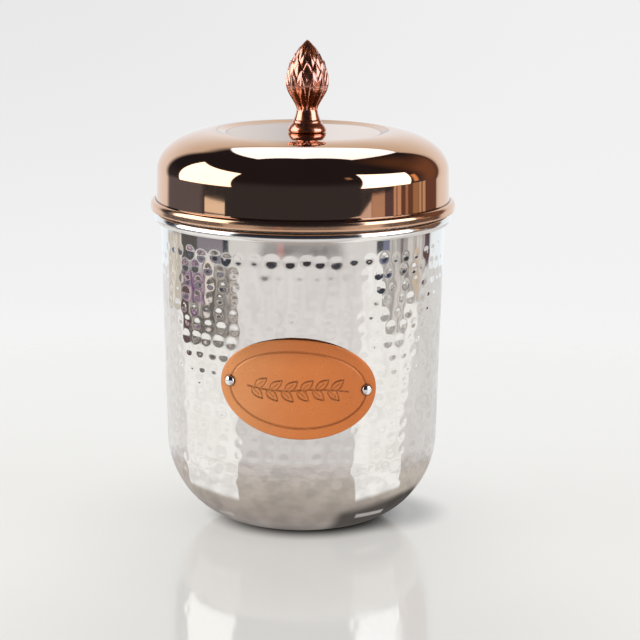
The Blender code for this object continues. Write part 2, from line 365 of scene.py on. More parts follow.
def hammered_steel():
    """Mirror-polished steel, with a duller rim and a satin inner face."""
    material, nodes, shader = metal("hammered_steel", (0.85, 0.80, 0.755), (0.82, 0.77, 0.72), 0.055)
    dull_rim(nodes, shader, CAN_HIGH.z - 5 * MM, CAN_HIGH.z, roughness=0.12)
    # The inner face's normals point to the can's axis.
    level = nodes.vector("MULTIPLY", nodes.geometry("True Normal"), (1, 1, 0)).outputs["Vector"]
    out = nodes.vector("DOT_PRODUCT", nodes.place(), level).outputs["Value"]
    inner = nodes.math("LESS_THAN", out, -0.2 * MM)
    gloss = shader.inputs["Roughness"].links[0].from_socket
    nodes.put(shader.inputs["Roughness"], nodes.blend(inner, gloss, INNER_ROUGHNESS))
    shade = nodes.times(inner, 1 - INNER_METALLIC)
    nodes.put(shader.inputs["Metallic"], nodes.math("SUBTRACT", 1.0, shade))
    return material


def polished_copper():
    """Mirror-polished copper, with a duller rim and painted shade in its creases."""
    tints = (0.74, 0.44, 0.28), (0.72, 0.42, 0.265)
    material, nodes, shader = metal("polished_copper", *tints, 0.035, bump=0.04)
    dull_rim(nodes, shader, LID_LOW.z, LID_RIM_TOP - 0.5 * MM, roughness=0.15)
    # Painted shade in the lid's creases, such as where the wall meets its rolled rim.
    paint_shade_in_hollows(nodes, shader, strength=2.2, reach=0.8 * MM, color=(0.09, 0.053, 0.034))
    return material


def cast_copper():
    """Lacquered cast copper: a sharp sheen over a deep red metal."""
    tints = (0.68, 0.20, 0.075), (0.55, 0.14, 0.05)
    material, nodes, shader = metal("cast_copper", *tints, 0.27, bump=0.12)
    # Painted shade in the hollows between the scales and the leaves.
    paint_shade_in_hollows(nodes, shader, strength=1.2, reach=1.5 * MM, color=(0.08, 0.02, 0.01))
    shader.inputs["Coat Weight"].default_value = 1.0
    shader.inputs["Coat IOR"].default_value = 2.3
    shader.inputs["Coat Roughness"].default_value = 0.03
    shader.inputs["Coat Tint"].default_value = (1, 0.9, 0.8, 1)
    return material


def plate_copper():
    """Satin copper, dull with wear. Painted light and shade make it paler on the left and darker on the
    right, and a painted shade makes faces that look up, such as its upper edge, nearly black; it is also
    darker towards the top.
    """
    tints = (0.73, 0.29, 0.11), (0.70, 0.275, 0.10)
    material, nodes, shader = metal("satin_copper", *tints, 0.3, grain=0.05, stretch=(1, 1, 9), bump=0.3)
    x, _, z = nodes.split(nodes.place())
    up = nodes.split(nodes.geometry("True Normal"))[2]
    red = nodes.fit(x, -34 * MM, 4 * MM)
    deep = nodes.fit(x, 2 * MM, 36 * MM)
    high = nodes.fit(z, PLATE_Z + 9 * MM, PLATE_Z + 22 * MM, 0.0, 0.3)
    edge = nodes.fit(up, 0.5, 0.8)
    tint = shader.inputs["Base Color"].links[0].from_socket
    # Painted light and shade: red and deep take the colour from a paler left to a darker right, and edge
    # paints faces that look up nearly black. high darkens the top.
    for share, color in (
        (red, (0.69, 0.21, 0.058)),
        (deep, (0.56, 0.155, 0.038)),
        (high, (0.2, 0.05, 0.015)),
        (edge, (0.01, 0.006, 0.005)),
    ):
        tint = nodes.mix(share, tint, color)
    nodes.put(shader.inputs["Base Color"], tint)
    # Painted shade in the grooves, round the rivets, and where the plate lies close to the wall.
    paint_shade_in_hollows(nodes, shader, 2.5, 1.1 * MM, color=(0.05, 0.015, 0.008), alone=False)
    shader.inputs["Metallic"].default_value = 0.3
    shader.inputs["Specular IOR Level"].default_value = 0.25
    return material


# ---------------------------------------------------------------- materials
def silicone():
    material, nodes, shader = new_material("silicone")
    place = nodes.place()
    cloud = nodes.noise(place, 90, 4)
    dust = nodes.noise(place, 900, 2)
    nodes.put(shader.inputs["Base Color"], nodes.mix(cloud, (0.80, 0.80, 0.78), (0.70, 0.70, 0.68)))
    nodes.put(shader.inputs["Roughness"], nodes.fit(dust, 0, 1, 0.4, 0.6))
    shader.inputs["Subsurface Weight"].default_value = 0.3
    shader.inputs["Subsurface Radius"].default_value = (1, 1, 0.9)
    shader.inputs["Subsurface Scale"].default_value = 1.5 * MM
    bumps = nodes.add("ShaderNodeBump", {"Height": dust, "Strength": 0.2, "Distance": 0.05 * MM})
    nodes.put(shader.inputs["Normal"], bumps.outputs["Normal"])
    return material


STEEL = hammered_steel()
INNER_STEEL = metal("inner_steel", (0.74, 0.73, 0.71), (0.70, 0.69, 0.67), 0.22, stretch=(1, 1, 14))[0]
COPPER = polished_copper()
CAST_COPPER = cast_copper()
PLATE_COPPER = plate_copper()
RIVET_STEEL = metal("rivet_steel", (0.86, 0.85, 0.84), (0.8, 0.79, 0.78), 0.08)[0]
ZINC = metal("zinc_plate", (0.68, 0.69, 0.72), (0.62, 0.63, 0.64), 0.28, 0.04, bump=0.3)[0]
SILICONE = silicone()

# ---------------------------------------------------------------- hammered can
CAN_SEGMENTS = 420
MARK_TOP_Z = 141.2 * MM
MARK_LOW_Z = 25.5 * MM
MARK_ROW_PITCH = 6.85 * MM
MARK_SPACING = 7.7 * MM
# How far a mark strays from its row, and the marks' radii and depths, in millimetres.
MARK_SHIFT = 0.6
MARK_RADII = (2.6, 3.5)
MARK_DEPTHS = (0.13, 0.25)
# How hard the marks of each row are struck at the front, and how hard all are struck at the sides and back.
ROW_FORCES = (0.8, 0.2, 0.12, 0.18, 0.4, 0.35, 0.65)
SIDE_FORCE = 0.85
FRONT_ENDS = (0.38, 0.6)
# Slow waves of the wall: turns round the can, turns with height, and height in millimetres.
WAVES = ((9, 55, 0.030), (14, -80, 0.024), (23, 140, 0.014), (31, -210, 0.008))
BOWL_POINTS_Z = 20 * MM


def wall_radius(z):
    """Outer radius of the can's wall and corner at a height."""
    drop = np.clip((CORNER_TOP_Z - z) / CORNER_TOP_Z, 0, 1)
    corner = FOOT_R + (CORNER_TOP_R - FOOT_R) * np.sqrt(1 - drop**2)
    return np.where(z > CORNER_TOP_Z, CORNER_TOP_R + WALL_SLOPE * (z - CORNER_TOP_Z), corner)


def wall_points(low, high, count, inset=0.0):
    return [(float(wall_radius(z)) - inset, z) for z in np.linspace(low, high, count)]


def hammer_marks():
    """(angle, z, radius, depth) of each mark. The marks run round the can in rows."""
    rows = int((MARK_TOP_Z - MARK_LOW_Z) / MARK_ROW_PITCH) + 1
    for row in range(rows):
        front_force = ROW_FORCES[min(row, len(ROW_FORCES) - 1)]
        z = MARK_TOP_Z - row * MARK_ROW_PITCH
        around = int(TAU * float(wall_radius(z)) / MARK_SPACING)
        start = rng.uniform(0, TAU)
        for i in range(around):
            angle = start + (i + rng.uniform(-0.17, 0.17)) * TAU / around
            place = z + rng.uniform(-MARK_SHIFT, MARK_SHIFT) * MM
            from_front = abs((angle - 1.5 * math.pi + math.pi) % TAU - math.pi)
            force = front_force + (SIDE_FORCE - front_force) * smoothstep(*FRONT_ENDS, from_front)
            yield angle % TAU, place, rng.uniform(*MARK_RADII) * MM, force * rng.uniform(*MARK_DEPTHS) * MM


def hammered(radii, heights, angles):
    """Presses each mark in, and gives the wall a slow waviness."""
    pressed = np.zeros_like(radii)
    for angle, z, size, depth in hammer_marks():
        rows = np.nonzero(np.abs(heights[:, 0] - z) < size)[0]
        if not len(rows):
            continue
        turn = (angles[0] - angle + math.pi) % TAU - math.pi
        columns = np.nonzero(np.abs(turn) * radii[rows[0], 0] < size)[0]
        block = np.ix_(rows, columns)
        across = turn[columns] * radii[block]
        share = (across**2 + (heights[block] - z) ** 2) / size**2
        pressed[block] = np.maximum(pressed[block], depth * np.clip(1 - share, 0, 1) ** 2)
    waves = np.zeros_like(radii)
    for turns, lift, size in WAVES:
        waves += size * MM * np.sin(turns * angles + lift * heights + turns)
    marked = smoothstep(MARK_LOW_Z - 8 * MM, MARK_LOW_Z + 4 * MM, heights)
    marked *= 1 - smoothstep(CAN_RIM_Z - 17 * MM, CAN_RIM_Z - 9 * MM, heights)
    return radii - pressed - waves * marked, heights, angles


def build_can():
    """One sheet: the inside from the foot up, the rolled rim, and the hammered outside down to the foot."""
    center = (CAN_RIM_R, CAN_RIM_Z)
    corner = (FOOT_R, CORNER_TOP_Z)
    low_angle = math.degrees(math.asin(BOWL_POINTS_Z / CORNER_TOP_Z - 1))
    profile = [
        *[(FOOT_R * share, SHEET) for share in (0, 0.5, 0.9)],
        *ellipse(corner, CORNER_TOP_R - FOOT_R - SHEET, CORNER_TOP_Z - SHEET, -90, low_angle, 9),
        *wall_points(BOWL_POINTS_Z, CAN_RIM_Z, 40, inset=SHEET)[1:-1],
        *ellipse(center, CAN_RIM_HALF_WIDTH, CAN_RIM_HALF_HEIGHT, 180, -105, 19),
        *ellipse(center, CAN_RIM_HALF_WIDTH - SHEET, CAN_RIM_HALF_HEIGHT - SHEET, -105, 180, 11),
        *wall_points(CAN_RIM_Z, MARK_TOP_Z, 24)[1:-1],
        *wall_points(MARK_TOP_Z, BOWL_POINTS_Z, 122)[:-1],
        *ellipse(corner, CORNER_TOP_R - FOOT_R, CORNER_TOP_Z, low_angle, -90, 13),
        *[(FOOT_R * share, 0) for share in (0.9, 0.5, 0)],
    ]
    can = turned("can_shell", profile, CAN_SEGMENTS, hammered)
    place_piece(can, STEEL, "can", "can_body")


# ---------------------------------------------------------------- lid
def lid_bead():
    """The rolled rim's outer side: it flares out of the wall, drops upright, and turns under."""
    out = LID_HIGH.x
    face_top = LID_LOW.z + 2.7 * MM
    fold = 0.95 * MM
    crown_r = LID_WALL_R + 0.75 * MM
    crown = ellipse((crown_r, face_top), out - crown_r, LID_RIM_TOP - face_top, 108, 0, 18)
    crease = crown[0][1] - 0.1 * MM
    flare = rounded([(LID_WALL_R, LID_FLARE_TOP), (LID_WALL_R, crease), crown[1]], 0.35 * MM, 4)
    foot = ellipse((out - 0.03 * MM - fold, LID_LOW.z + fold), fold, fold, -2, -200, 22)
    return [*flare[:-1], *crown[1:], *line(crown[-1], foot[0], 5)[1:], *foot]


def lid_outline():
    """Outer side of the lid, from its hole to the end of its rolled rim."""
    low_r, high_r = TOP_R - 2.6 * MM, RING_R + 0.3 * MM
    flat_end, ring_end = (low_r - 2 * MM, TOP_Z), (high_r + 0.9 * MM, RING_Z)
    flat = line((LID_HOLE_R, TOP_Z), flat_end, 14)
    step = rounded([flat_end, (low_r, TOP_Z), (high_r, RING_Z), ring_end], 1.2 * MM, 6)
    dome = ellipse((RING_R, SHOULDER_Z), SHOULDER_R - RING_R, RING_Z - SHOULDER_Z, 86, 0, 60)
    wall = line((SHOULDER_R, SHOULDER_Z), (LID_WALL_R, LID_FLARE_TOP), 16)
    return [*flat, *step[:-1], *dome, *wall[1:], *lid_bead()]


def round_the_screw(radii, heights, angles):
    """Moves the hole to the finial's place, and fades that out towards the ring."""
    share = 1 - smoothstep(LID_HOLE_R, TOP_R - 3 * MM, radii)
    x = radii * np.cos(angles) + FINIAL_X * share
    y = radii * np.sin(angles)
    return np.hypot(x, y), heights, np.arctan2(y, x)


def build_lid():
    outline = lid_outline()
    profile = [*outline, *beside(outline, SHEET)[::-1]]
    lid = turned("lid_shell", profile, 320, round_the_screw, closed=True)
    place_piece(lid, COPPER, "lid", "lid_dome")


# ---------------------------------------------------------------- plate
PLATE_COLUMNS = 260
PLATE_ROWS = 165
PILLOW = 2.2 * MM
PILLOW_DROP = 0.28 * MM
BORDER_HALF_WIDTH = 33.2 * MM
BORDER_HALF_HEIGHT = 18.6 * MM
BORDER_DROP = 0.3 * MM
LINE_WIDTH = 0.4 * MM
LINE_DEPTH = 0.4 * MM
TOP_EDGE_LIFT = 1.5 * MM
DENT_R = 3.8 * MM
DENT_DEPTH = 0.2 * MM
LEAF_LENGTH = 7.4 * MM
LEAF_HALF_WIDTH = 1.9 * MM
LEAF_PITCH = 7.2 * MM
LEAF_PAIRS = 6
LEAF_LEAN = math.radians(42)
STEM_HALF_LENGTH = 24 * MM
STEM_WAVE = 0.9 * MM
STEM_LINE = 0.3 * MM
LEAF_LINE = 0.26 * MM
VEIN_LINE = 0.2 * MM


def oval_distance(along, across, half_width, half_height):
    """About how far a point is inside an oval's edge."""
    share = np.sqrt((along / half_width) ** 2 + (across / half_height) ** 2) + 1e-9
    slope = np.sqrt((along / half_width**2) ** 2 + (across / half_height**2) ** 2) / share + 1e-9
    return (1 - share) / slope


def groove(distance, width=LINE_WIDTH):
    """Depth of a rounded groove, 0 to 1, at a distance from its middle."""
    return np.exp(-((distance / width) ** 2))


def leaf_line(along, across, root, angle, length):
    """Groove round one leaf and along its middle. root is where it leaves the stem."""
    c, s = math.cos(angle), math.sin(angle)
    u = ((along - root[0]) * c + (across - root[1]) * s) / length
    w = -(along - root[0]) * s + (across - root[1]) * c
    inside = np.clip(u, 0, 1)
    half = LEAF_HALF_WIDTH * np.sin(math.pi * inside**0.8) ** 0.9
    beyond = np.abs(u - inside) * length
    outline = np.hypot(np.abs(w) - half, beyond)
    vein = np.hypot(w, np.where((u > 0.05) & (u < 0.68), 0, 1))
    return np.maximum(groove(outline, LEAF_LINE), 0.6 * groove(vein, VEIN_LINE))


def sprig(along, across):
    """A leafy sprig as engraved lines, 0 to 1: a waved stem with a pair of leaves at each step."""
    wave = STEM_WAVE * np.sin(math.pi * along / STEM_HALF_LENGTH)
    past = np.clip(np.abs(along) - STEM_HALF_LENGTH, 0, None)
    lines = groove(np.hypot(across - wave, past), STEM_LINE)
    for i in range(LEAF_PAIRS):
        x = (i - (LEAF_PAIRS - 1) / 2) * LEAF_PITCH - 3 * MM
        y = STEM_WAVE * math.sin(math.pi * x / STEM_HALF_LENGTH)
        for side in (-1, 1):
            root = (x + side * 0.8 * MM, y)
            lines = np.maximum(lines, leaf_line(along, across, root, side * LEAF_LEAN, LEAF_LENGTH))
    return lines


def build_plate():
    """An oval grid wrapped round the wall: a square grid becomes a disc, which is stretched to the oval."""
    x, y = np.meshgrid(np.linspace(-1, 1, PLATE_COLUMNS), np.linspace(-1, 1, PLATE_ROWS))
    along = x * np.sqrt(1 - y * y / 2) * PLATE_HALF_WIDTH
    across = y * np.sqrt(1 - x * x / 2) * PLATE_HALF_HEIGHT
    inset = oval_distance(along, across, PLATE_HALF_WIDTH, PLATE_HALF_HEIGHT)
    edge = np.clip(1 - inset / PILLOW, 0, 1)
    lower = PILLOW_DROP * (1 - np.sqrt(1 - np.minimum(edge, 0.98) ** 2))
    border = oval_distance(along, across + BORDER_DROP, BORDER_HALF_WIDTH, BORDER_HALF_HEIGHT)
    lower += LINE_DEPTH * np.maximum(groove(border), sprig(along, across + BORDER_DROP))
    for side in (-1, 1):
        from_rivet = np.hypot(along - side * RIVET_REACH, across - RIVET_RISE)
        lower += DENT_DEPTH * groove(from_rivet, DENT_R)
    c, s = math.cos(PLATE_TURN), math.sin(PLATE_TURN)
    arc = PLATE_ARC + along * c - across * s
    z = PLATE_Z + along * s + across * c
    middle_r = CORNER_TOP_R + WALL_SLOPE * (PLATE_Z - CORNER_TOP_Z)
    wall_r = CORNER_TOP_R + WALL_SLOPE * (z - CORNER_TOP_Z)
    lift = TOP_EDGE_LIFT * smoothstep(0.35, 1.05, across / PLATE_HALF_HEIGHT)
    lift *= 1 - smoothstep(0.1, 0.6, np.abs(along / PLATE_HALF_WIDTH - 0.05))
    sheets = []
    for standoff in (GAP + PLATE_SHEET + lift - lower, GAP + lift):
        radius = wall_r + standoff
        turn = arc / middle_r
        sheets.append(np.stack([radius * np.sin(turn), -radius * np.cos(turn), z], axis=-1))
    points = np.concatenate([sheet.reshape(-1, 3) for sheet in sheets])
    front = grid_faces(PLATE_ROWS, PLATE_COLUMNS)
    total = PLATE_ROWS * PLATE_COLUMNS
    index = np.arange(total).reshape(PLATE_ROWS, PLATE_COLUMNS)
    rim = np.concatenate([index[0, :-1], index[:-1, -1], index[-1, :0:-1], index[:0:-1, 0]])
    onward = np.roll(rim, -1)
    side = np.stack([onward, rim, rim + total, onward + total], axis=-1)
    faces = np.concatenate([front, front[:, ::-1] + total, side])
    plate = mesh_object("oval_plate", points.tolist(), faces.tolist())
    place_piece(plate, PLATE_COPPER, "can", "label_plate")


# ---------------------------------------------------------------- rivets
RIVET_SHANK_R = 1.3 * MM
RIVET_HEAD_R = 2.5 * MM
RIVET_HEAD_HEIGHT = 1.5 * MM
RIVET_TAIL_R = 2.1 * MM
RIVET_TAIL_HEIGHT = 0.9 * MM
BURR_R = 3.3 * MM
BURR_THICKNESS = 0.6 * MM
RIVET_SEGMENTS = 64


def on_wall(node):
    """Frame on the can's outer wall at a rivet's node, with Z pointing out of the wall."""
    low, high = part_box(node)
    middle = (low + high) / 2
    angle = math.atan2(middle.y, middle.x)
    radius = CORNER_TOP_R + WALL_SLOPE * (middle.z - CORNER_TOP_Z)
    rise = Matrix.Translation((0, 0, middle.z))
    turn = Matrix.Rotation(angle, 4, "Z")
    outward = Matrix.Translation((radius, 0, 0))
    lean = Matrix.Rotation(math.pi / 2 + math.atan(WALL_SLOPE), 4, "Y")
    return rise @ turn @ outward @ lean


def build_rivet(side):
    """A round-headed rivet through the plate and the wall, and the burr washer under its tail."""
    place = on_wall(f"label_rivet_{side}")
    head_low = 2 * GAP + PLATE_SHEET
    burr_high = -SHEET - GAP
    burr_low = burr_high - BURR_THICKNESS
    tail_high = burr_low - GAP
    tail_low = tail_high - RIVET_TAIL_HEIGHT
    head = ellipse((0, head_low), RIVET_HEAD_R, RIVET_HEAD_HEIGHT, 90, 8, 14)
    shank_high, shank_low = (RIVET_SHANK_R, head_low), (RIVET_SHANK_R, tail_high)
    neck = rounded([head[-1], (RIVET_HEAD_R, head_low), shank_high, shank_low], 0.12 * MM)
    tail_edge, tail_foot = (RIVET_TAIL_R, tail_high), (RIVET_TAIL_R * 0.8, tail_low)
    tail = rounded([neck[-1], tail_edge, tail_foot, (0, tail_low)], 0.3 * MM, 6)
    rivet = turned(f"round_rivet_{side}", [*head, *neck[1:], *tail[1:]], RIVET_SEGMENTS)
    rivet.matrix_world = place
    place_piece(rivet, RIVET_STEEL, "can", f"label_rivet_{side}")
    bore = RIVET_SHANK_R + GAP
    corners = [(bore, burr_high), (BURR_R, burr_high), (BURR_R, burr_low), (bore, burr_low)]
    burr = turned(f"burr_{side}", rounded(corners, 0.15 * MM, closed=True), RIVET_SEGMENTS, closed=True)
    burr.matrix_world = place
    place_piece(burr, RIVET_STEEL, "can", f"rivet_washer_{side}")


# ---------------------------------------------------------------- finial
FINIAL_ROWS = 330
FINIAL_COLUMNS = 288
SCALES_AROUND = 12
SCALE_ROWS = 7
SCALE_LOW = 22 * MM
SCALE_LENGTH = 9.0 * MM
SCALE_LIFT = 1.0 * MM
SCALE_OVERLAP = 0.5
SCALE_SHRINK = 0.93
LEAF_LOW = 10.8 * MM
LEAF_HIGH = 28.5 * MM
LEAF_FOOT = LEAF_LOW - 14 * MM
LEDGE_HEIGHT = 0.28 * MM
BEAD_R = 9.5 * MM
BEAD_MID = 1.2 * MM
BEAD_TOP = 4.8 * MM
BEAD_FALL = 2.3 * MM
NECK_R = 5.33 * MM
NECK_HEIGHT = 10.4 * MM
CONE_R = 10.76 * MM
CONE_HEIGHT = 23.5 * MM
BORE_DEPTH = 12 * MM


def finial_radius(height):
    """Radius of the finial at heights above the lid's flat top, before its scales are cut."""
    fall = np.abs(height - BEAD_MID) / (BEAD_TOP - BEAD_MID)
    bead = BEAD_R - BEAD_FALL * fall**1.6
    share = np.clip((height - BEAD_TOP) / (NECK_HEIGHT - BEAD_TOP), 0, 1)
    neck = NECK_R + (BEAD_R - BEAD_FALL - NECK_R) * (1 - share) ** 1.5
    ledge = LEDGE_HEIGHT * np.exp(-(((height - BEAD_TOP - 0.75 * MM) / (0.38 * MM)) ** 2))
    share = np.clip((height - NECK_HEIGHT) / (CONE_HEIGHT - NECK_HEIGHT), 0, 1)
    swell = NECK_R + (CONE_R - NECK_R) * (share * share * (3 - 2 * share)) ** 0.9
    share = np.clip((height - CONE_HEIGHT) / (FINIAL_HEIGHT - CONE_HEIGHT), 0, 1)
    tip = CONE_R * np.cos(math.pi / 2 * share**1.12) ** 0.85
    radius = np.where(height < BEAD_TOP, bead, neck + ledge)
    radius = np.where(height > NECK_HEIGHT, swell, radius)
    return np.where(height > CONE_HEIGHT, tip, radius)


def scale(height, turn, low, high, half_turn, blunt):
    """How far one pointed scale stands out, 0 to 1. It is widest below its middle and rises to its tip."""
    up = (height - low) / (high - low)
    inside = (up > 0) & (up < 1)
    up = np.clip(up, 0, 1)
    half = half_turn * np.clip(1 - up**blunt, 0, 1) ** 0.75
    across = np.abs(turn) / np.maximum(half, 1e-6)
    crown = 1 - 0.55 * np.clip(across, 0, 1) ** 2
    keel = 0.15 * np.clip(1 - across * 3, 0, 1)
    return np.where(inside & (across < 1), up**0.8 * (crown + keel), 0)


def scaled(heights, angles):
    """How far the scales and the long leaves under them stand out, 0 to 1."""
    half_turn = math.pi / SCALES_AROUND
    leaf_turn = angles % (2 * half_turn) - half_turn
    out = scale(heights, leaf_turn, LEAF_FOOT, LEAF_HIGH, half_turn=0.95 * half_turn, blunt=2.6)
    bottom, length = SCALE_LOW, SCALE_LENGTH
    for row in range(SCALE_ROWS):
        turn = (angles + half_turn * (row % 2)) % (2 * half_turn) - half_turn
        raised = scale(heights, turn, bottom, bottom + length, half_turn=half_turn * 1.1, blunt=1.9)
        out = np.maximum(out, raised)
        bottom += SCALE_OVERLAP * length
        length *= SCALE_SHRINK
    return out


def build_finial():
    """The turned outline with its scales raised, and a blind hole from below."""
    heights = np.linspace(FINIAL_HEIGHT - 0.05 * MM, GAP, FINIAL_ROWS)
    outline = [(float(radius), TOP_Z + height) for radius, height in zip(finial_radius(heights), heights)]
    bore = SCREW_R + GAP
    bore_top = TOP_Z + BORE_DEPTH
    hole = [outline[-1], (bore, TOP_Z + GAP), (bore, bore_top), (0, bore_top + 1.2 * MM)]
    foot = rounded(hole, 0.3 * MM)

    def cut(radii, z, angles):
        """Cuts the outer side between the scales, and leaves the bore and the neck as they are."""
        height = z - TOP_Z
        cone = smoothstep(LEAF_LOW - MM, LEAF_LOW + 1.5 * MM, height) * smoothstep(0, 4 * MM, radii - bore)
        cone *= np.arange(len(radii))[:, None] < FINIAL_ROWS
        lift = SCALE_LIFT * np.clip(radii / CONE_R, 0.7, 1)
        return radii - cone * lift * (1 - scaled(height, angles)), z, angles

    profile = [(0, TOP_Z + FINIAL_HEIGHT), *outline, *foot[1:]]
    finial = turned("cone_finial", profile, FINIAL_COLUMNS, cut)
    finial.location.x = FINIAL_X
    place_piece(finial, CAST_COPPER, "lid", "finial")


# ---------------------------------------------------------------- inside the lid
RING_SEGMENTS = 256


def build_sleeve():
    """Steel collar: a foot that keeps the seal on, a ledge over the can's rim, and a lip up the lid."""
    low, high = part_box("lid_sleeve")
    half = 0.3 * MM
    lip_r = high.x - half
    ledge_z = CAN_HIGH.z + GAP + half
    tube_r = 66.1 * MM
    bend = 0.7 * MM
    lip = [(lip_r, high.z), (lip_r, ledge_z)]
    tube = [(tube_r, ledge_z), (tube_r, low.z + bend), (tube_r + 1.2 * MM, low.z + half)]
    middle = rounded([*lip, *tube], bend, 6)
    profile = [*beside(middle, -half), *beside(middle, half)[::-1]]
    collar = turned("steel_collar", profile, RING_SEGMENTS, closed=True)
    place_piece(collar, INNER_STEEL, "lid", "lid_sleeve")


def build_seal():
    """Soft ring with three lips that point up."""
    low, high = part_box("lid_seal")
    inner = 66.7 * MM
    base = 67.4 * MM
    lips = 3
    pitch = 3.2 * MM
    corners = [(inner, high.z)]
    for i in range(lips):
        root = high.z - i * pitch
        corners += [(base, root), (high.x, root - 0.6 * MM), (base, root - 1.4 * MM)]
    corners += [(base, low.z), (inner, low.z)]
    profile = rounded(corners, 0.3 * MM, 5, closed=True)
    seal = turned("silicone_seal", profile, RING_SEGMENTS, closed=True)
    place_piece(seal, SILICONE, "lid", "lid_seal")


THREAD_PITCH = 0.7 * MM
THREAD_DEPTH = 0.35 * MM
CROSS_SLOT = (4.2 * MM, 0.9 * MM, 3 * MM)
SPLIT = 0.8 * MM


def threaded(radii, heights, angles):
    """Winds a thread round the shank."""
    phase = (heights / THREAD_PITCH - angles / TAU) % 1
    depth = THREAD_DEPTH * (1 - np.abs(2 * phase - 1))
    on_shank = np.abs(radii - SCREW_R) < 0.01 * MM
    return radii - np.where(on_shank, depth, 0), heights, angles


def blade(place, length, width, height):
    """A box that cuts a slit."""
    shape = bmesh.new()
    bmesh.ops.create_cube(shape, size=1)
    bmesh.ops.scale(shape, vec=(length, width, height), verts=shape.verts)
    cutter = shape_object("blade", shape)
    cutter.location = place
    return cutter


def cut_out(obj, cutters):
    """Cuts the cutters out of a piece and removes them."""
    for cutter in cutters:
        cut = obj.modifiers.new("cut", "BOOLEAN")
        cut.object = cutter
    bpy.context.view_layer.update()
    graph = bpy.context.evaluated_depsgraph_get()
    mesh = bpy.data.meshes.new_from_object(obj.evaluated_get(graph))
    obj.modifiers.clear()
    obj.data = mesh
    for cutter in cutters:
        bpy.data.objects.remove(cutter)
    mesh.set_sharp_from_angle(angle=math.radians(40))


def build_screw():
    """Pan-head screw that points up, with a thread on its shank and a cross slot in its head."""
    low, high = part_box("finial_screw")
    head_r = (high.x - low.x) / 2
    head_high = low.z + 2.5 * MM
    crown = ellipse((0, head_high), head_r, head_high - low.z, 0, -90, 12)
    shank_low = head_high + 0.2 * MM
    shank = line((SCREW_R, high.z - 0.4 * MM), (SCREW_R, shank_low), 80)
    tip = [(0, high.z), (SCREW_R - 0.4 * MM, high.z)]
    head = [(SCREW_R, head_high), (head_r * 0.97, head_high), *crown[1:]]
    screw = turned("pan_screw", [*tip, *shank, *head], 48, threaded)
    screw.location.x = FINIAL_X
    place = (FINIAL_X, 0, low.z)
    long, wide, deep = CROSS_SLOT
    cut_out(screw, [blade(place, long, wide, deep), blade(place, wide, long, deep)])
    place_piece(screw, ZINC, "lid", "finial_screw")


def build_washers():
    """A flat washer, and a spring washer with a slit."""
    bore = SCREW_R + GAP
    washers = (("flat_washer", "finial_washer", 0), ("spring_washer", "finial_lock_washer", SPLIT))
    for name, node, slit in washers:
        low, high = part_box(node)
        outer = (high.y - low.y) / 2
        corners = [(bore, high.z), (outer, high.z), (outer, low.z), (bore, low.z)]
        washer = turned(name, rounded(corners, 0.15 * MM, closed=True), 72, closed=True)
        washer.location.x = FINIAL_X
        if slit:
            place = (FINIAL_X + outer, 0, (low.z + high.z) / 2)
            cut_out(washer, [blade(place, 2 * outer, slit, 2 * (high.z - low.z))])
        place_piece(washer, ZINC, "lid", node)


build_can()
build_plate()
for rivet_side in ("left", "right"):
    build_rivet(rivet_side)
build_lid()
build_finial()
build_sleeve()
build_seal()
build_screw()
build_washers()


# ---------------------------------------------------------------- studio
class Patches:
    """Colours laid over each other, each on a patch of azimuth and height, as seen from the can's axis.

    Azimuth is 0 towards the front and grows to the right, in degrees. light is the colour so far, and
    cover is 1 where there is any patch.
    """

    def __init__(self, nodes, place):
        self.nodes = nodes
        self.x, y, self.z = nodes.split(place)
        self.azimuth = self.degrees("ARCTAN2", self.x, nodes.times(y, -1.0))
        self.height = self.z
        self.light = (0.0, 0.0, 0.0)
        self.cover = 0.0

    def degrees(self, operation, *values):
        """An inverse angle function's result, in degrees."""
        return self.nodes.times(self.nodes.math(operation, *values), 180 / math.pi)

    def edge(self, value, other, place, soft, rising):
        """1 on one side of an edge, given as one number or as its places at two values of other."""
        if isinstance(place, tuple):
            (first, start), (second, end) = place
            slope = (end - start) / (second - first)
            place = self.nodes.math("MULTIPLY_ADD", other, slope, start - slope * first)
        past = self.nodes.math("SUBTRACT", value, place)
        return self.nodes.fit(past, -soft, soft) if rising else self.nodes.fit(past, soft, -soft)

    def patch(self, color, left, right, low, high, soft=0.8, end=None):
        """Adds a patch. soft is how far its edges fade, and end is that of its low and high edge."""
        share = self.edge(self.azimuth, self.height, left, soft, True)
        for more in (
            self.edge(self.azimuth, self.height, right, soft, False),
            self.edge(self.height, self.azimuth, low, end or soft, True),
            self.edge(self.height, self.azimuth, high, end or soft, False),
        ):
            share = self.nodes.times(share, more)
        self.light = self.nodes.mix(share, self.light, color)
        self.cover = self.nodes.math("MAXIMUM", self.cover, share)


SOFT_BOX = (3.0, 3.4, 3.8)
WARM_SOFT_BOX = (3.0, 3.2, 3.3)
TOP_PANEL = (1.9, 2.5, 3.3)
FILL_LIGHT = (1.06, 1.055, 1.045)
TABLE_EDGE = (0.76, 0.76, 0.76)
FRONT_GAP = (0.05, 0.035, 0.035)
RED_MARK = (0.42, 0.09, 0.08)


